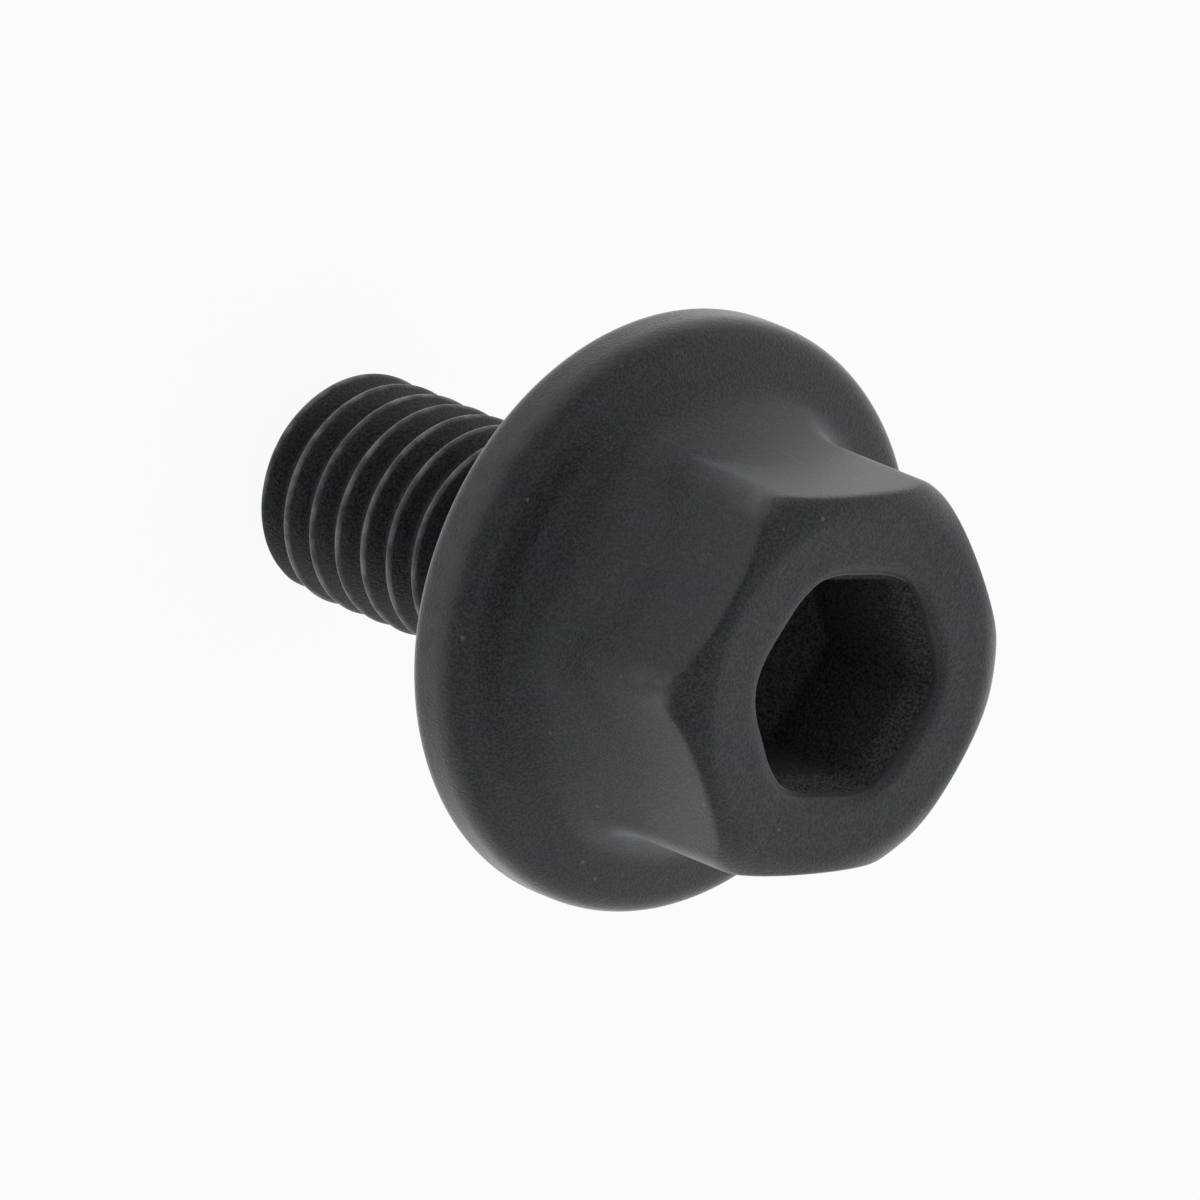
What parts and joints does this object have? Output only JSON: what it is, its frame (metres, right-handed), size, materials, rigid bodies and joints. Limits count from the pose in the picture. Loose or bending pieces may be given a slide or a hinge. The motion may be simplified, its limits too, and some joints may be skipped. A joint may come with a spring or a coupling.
{
  "type": "saw blade bolt",
  "caption": "Flanged hexagon-head bolt with a hexagon socket and a short left-hand thread, which clamps a circular saw's blade to its arbor.",
  "frame": {"origin": "centre of the flange's bearing face, on the bolt's axis", "axes": "+Z along the bolt's axis towards the head; +X through a corner of the outer hexagon"},
  "size_m": [0.0156, 0.0156, 0.0201],
  "materials": {
    "black_oxide_steel": "matte"
  },
  "bodies": {
    "root": {"blade_bolt": "black_oxide_steel"}
  },
  "joints": []
}
